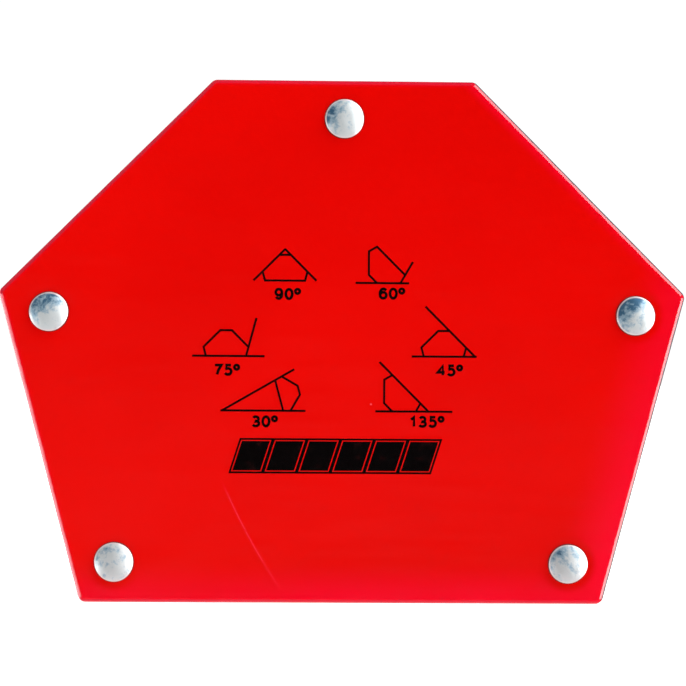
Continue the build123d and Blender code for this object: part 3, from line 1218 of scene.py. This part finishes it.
LAMP_DISTANCE = 0.9
LAMPS = {
    # name: azimuth, elevation, size, power in watts
    "lamp_front_left": (-30, -5, 0.7, 0.6),
    "lamp_front_right": (40, 22, 0.7, 0.3),
    "lamp_above": (10, 82, 0.8, 2.5),
    "lamp_back_left": (-140, 35, 0.7, 3.0),
    "lamp_back_right": (140, 30, 0.7, 2.0),
}
GLOWS = (
    # azimuth and elevation of its middle, where it ends and where it is full in degrees from
    # that, and its strength
    (77, 44, 22, 10, 9.0),
    (80, -14, 24, 12, 13.0),
    (52, 5, 36, 12, 1.7),
    (0, -72, 40, 20, 0.15),
    (180, -50, 45, 30, 1.5),
    (-116, -18, 30, 20, 7.0),
    (-120, 50, 40, 20, 0.3),
    (-84, -18, 20, 10, 4.0),
)
DARK_GLOW = 0.015  # what reflections find in the darkest directions
SEEN_WHITE = 1.05  # the backdrop, as the camera sees it
FLOOR_GLOW = 0.7
AIM_DROP = 0.3 * MM


def direction(azimuth, elevation):
    """The unit vector from the holder to a place round it, azimuth 0 in front, in degrees."""
    around, up = radians(azimuth), radians(elevation)
    return Vector((sin(around) * cos(up), -cos(around) * cos(up), sin(up)))


def build_floor(settings):
    """A round floor: rings of points about the origin, radius = share * floor radius."""
    rings = np.array([0, 0.1, 0.3, 1.0]) * settings.floor_radius
    shell = Shell()
    shell.add_grid(turned(np.zeros(2), rings, np.zeros(4), 48)[..., [0, 2, 1]], wrap_columns=True)
    mesh = shell.mesh("floor")
    floor = bpy.data.objects.new("floor", mesh)
    bpy.context.scene.collection.objects.link(floor)
    material = bpy.data.materials.new("pale_floor")
    nodes = Nodes(material)
    nodes.surface(
        Base_Color=(*settings.floor_colour, 1),
        Roughness=0.9,
        Emission_Color=(1, 1, 1, 1),
        Emission_Strength=FLOOR_GLOW,
    )
    mesh.materials.append(material)
    floor.visible_glossy = False


def build_world():
    """The studio: a white backdrop, and in reflections pale walls with softboxes to the sides.

    A glow is nothing beyond its end and full strength near its middle, by the cosine of the angle
    from its middle. The walls are dark in front, and dimmer behind than at the sides.
    """
    world = bpy.data.worlds.new("studio")
    bpy.context.scene.world = world
    nodes = Nodes(world)
    way = nodes.add("TexCoord", {}).outputs["Generated"]
    front = nodes.vector("DOT_PRODUCT", way, direction(0, 0))
    beside = nodes.ramp(front, 0.30, 0.62, 0.3, 0.0)
    walls = nodes.product(beside, nodes.ramp(front, -0.5, -0.1, 0.3, 1.0))
    glows = []
    for azimuth, elevation, end, full, strength in GLOWS:
        near = nodes.vector("DOT_PRODUCT", way, direction(azimuth, elevation))
        glows.append(nodes.ramp(near, cos(radians(end)), cos(radians(full)), 0.0, strength))
    glow = nodes.total(walls, *glows, DARK_GLOW)
    reflected = nodes.add("Background", {"Color": (1, 1, 1, 1), "Strength": glow})
    seen = nodes.add("Background", {"Color": (1, 1, 1, 1), "Strength": SEEN_WHITE})
    ray = nodes.add("LightPath", {}).outputs["Is Camera Ray"]
    both = nodes.add("MixShader", {0: ray, 1: reflected.outputs[0], 2: seen.outputs[0]})
    nodes.add("OutputWorld", {"Surface": both.outputs[0]})


def build_lamps(settings, target):
    """Large soft lamps around the holder, all aimed at its middle."""
    for name, (azimuth, elevation, size, power) in LAMPS.items():
        lamp = bpy.data.lights.new(name, "AREA")
        lamp.shape = "SQUARE"
        lamp.size = size
        lamp.energy = power * settings.light_strength
        holder = bpy.data.objects.new(name, lamp)
        bpy.context.scene.collection.objects.link(holder)
        way = direction(azimuth, elevation)
        holder.location = target + LAMP_DISTANCE * way
        holder.rotation_euler = (-way).to_track_quat("-Z", "Y").to_euler()
        holder.visible_glossy = False
        holder.visible_camera = False


def build_camera(settings):
    """A camera aimed just below the middle of the front face."""
    target = Vector((0, -outer_face, (plate_low.z + plate_high.z) / 2 - AIM_DROP))
    back = direction(degrees(settings.camera_azimuth), degrees(settings.camera_elevation))
    data = bpy.data.cameras.new("camera")
    data.lens = settings.lens
    data.sensor_width = 36.0
    data.clip_start = 0.01
    camera = bpy.data.objects.new("camera", data)
    bpy.context.scene.collection.objects.link(camera)
    turn = (-back).to_track_quat("-Z", "Y").to_matrix() @ Matrix.Rotation(settings.camera_roll, 3, "Z")
    camera.matrix_world = Matrix.Translation(target + settings.camera_distance * back) @ turn.to_4x4()
    bpy.context.scene.camera = camera


# ---- operators


class HOLDER_OT_build_plates(bpy.types.Operator):
    """Build the two painted plates"""

    bl_idname = "holder.build_plates"
    bl_label = "Plates"
    bl_options = {"REGISTER", "UNDO"}

    def execute(self, context):
        settings = context.scene.holder_plates
        material = paint_material(settings)
        for side, place in ((-1, "front"), (1, "back")):
            mesh = build_plate(side, settings)
            make_piece(f"painted_plate_{place}", mesh, material, "red_paint", f"{place}_plate")
        return {"FINISHED"}


class HOLDER_OT_build_rivets(bpy.types.Operator):
    """Build the five rivets"""

    bl_idname = "holder.build_rivets"
    bl_label = "Rivets"
    bl_options = {"REGISTER", "UNDO"}

    def execute(self, context):
        settings = context.scene.holder_rivets
        material = zinc_material(settings)
        for number, place in enumerate(PLACES):
            mesh = build_rivet(number, settings)
            make_piece(f"zinc_rivet_{place}", mesh, material, "zinc_plate", f"rivet_{place}")
        return {"FINISHED"}


class HOLDER_OT_build_spacers(bpy.types.Operator):
    """Build the spacer around each rivet"""

    bl_idname = "holder.build_spacers"
    bl_label = "Spacers"
    bl_options = {"REGISTER", "UNDO"}

    def execute(self, context):
        settings = context.scene.holder_rivets
        material = aluminium_material(settings)
        for place, axis in zip(PLACES, rivet_axes):
            mesh = build_spacer(axis, settings)
            make_piece(f"turned_spacer_{place}", mesh, material, "aluminium", f"spacer_{place}")
        return {"FINISHED"}


class HOLDER_OT_build_magnets(bpy.types.Operator):
    """Build the eight magnet bars"""

    bl_idname = "holder.build_magnets"
    bl_label = "Magnet Bars"
    bl_options = {"REGISTER", "UNDO"}

    def execute(self, context):
        settings = context.scene.holder_magnets
        material = ferrite_material(settings)
        for number, place in enumerate(MAGNETS):
            for side in ("right", "left"):
                edge = place if place in EDGES else f"{place}_{side}"
                node = f"magnet_{place}_{side}"
                mesh = build_bar(node, edge, BAR_SEED + 2 * number + (side == "left"), settings)
                make_piece(f"ferrite_bar_{place}_{side}", mesh, material, "ferrite", node)
        return {"FINISHED"}


class HOLDER_OT_build_print(bpy.types.Operator):
    """Build the angle guides and the plain band printed on the front"""

    bl_idname = "holder.build_print"
    bl_label = "Print"
    bl_options = {"REGISTER", "UNDO"}

    def execute(self, context):
        settings = context.scene.holder_print
        plates = context.scene.holder_plates
        material = ink_material(settings)
        for number, guide in GUIDES.items():
            mesh = film(guide_polygons(number, guide, settings), settings, plates)
            make_piece(f"printed_guide_{number}", mesh, material, "black_print")
        make_piece("printed_band", film(band_polygons(), settings, plates), material, "black_print")
        return {"FINISHED"}


class HOLDER_OT_build_stage(bpy.types.Operator):
    """Build the floor, the lights and the camera"""

    bl_idname = "holder.build_stage"
    bl_label = "Stage"
    bl_options = {"REGISTER", "UNDO"}

    def execute(self, context):
        settings = context.scene.holder_stage
        context.scene.view_settings.view_transform = "Standard"
        build_floor(settings)
        build_world()
        build_lamps(settings, Vector((0, 0, plate_height / 2)))
        build_camera(settings)
        return {"FINISHED"}


OPERATORS = (
    HOLDER_OT_build_plates,
    HOLDER_OT_build_rivets,
    HOLDER_OT_build_spacers,
    HOLDER_OT_build_magnets,
    HOLDER_OT_build_print,
    HOLDER_OT_build_stage,
)
SETTINGS = {
    "holder_plates": HolderPlateSettings,
    "holder_rivets": HolderRivetSettings,
    "holder_magnets": HolderMagnetSettings,
    "holder_print": HolderPrintSettings,
    "holder_stage": HolderStageSettings,
}


class HOLDER_PT_main(bpy.types.Panel):
    """The settings and the operators that use them"""

    bl_idname = "HOLDER_PT_main"
    bl_label = "Welding Magnet Holder"
    bl_space_type = "VIEW_3D"
    bl_region_type = "UI"
    bl_category = "Holder"

    def draw(self, context):
        layout = self.layout
        for name, group in SETTINGS.items():
            box = layout.box()
            for prop in group.__annotations__:
                box.prop(getattr(context.scene, name), prop)
        for operator in OPERATORS:
            layout.operator(operator.bl_idname)


def register():
    """Registers the classes and keeps the settings in the scene."""
    for settings in SETTINGS.values():
        bpy.utils.register_class(settings)
    for operator in OPERATORS:
        bpy.utils.register_class(operator)
    bpy.utils.register_class(HOLDER_PT_main)
    for name, group in SETTINGS.items():
        setattr(bpy.types.Scene, name, PointerProperty(type=group))


def unregister():
    """Undoes register."""
    for name in SETTINGS:
        delattr(bpy.types.Scene, name)
    bpy.utils.unregister_class(HOLDER_PT_main)
    for operator in reversed(OPERATORS):
        bpy.utils.unregister_class(operator)
    for settings in reversed(SETTINGS.values()):
        bpy.utils.unregister_class(settings)


def main():
    """Builds every piece and the stage."""
    register()
    bpy.ops.holder.build_plates()
    bpy.ops.holder.build_rivets()
    bpy.ops.holder.build_spacers()
    bpy.ops.holder.build_magnets()
    bpy.ops.holder.build_print()
    bpy.ops.holder.build_stage()


if __name__ == "__main__":
    main()
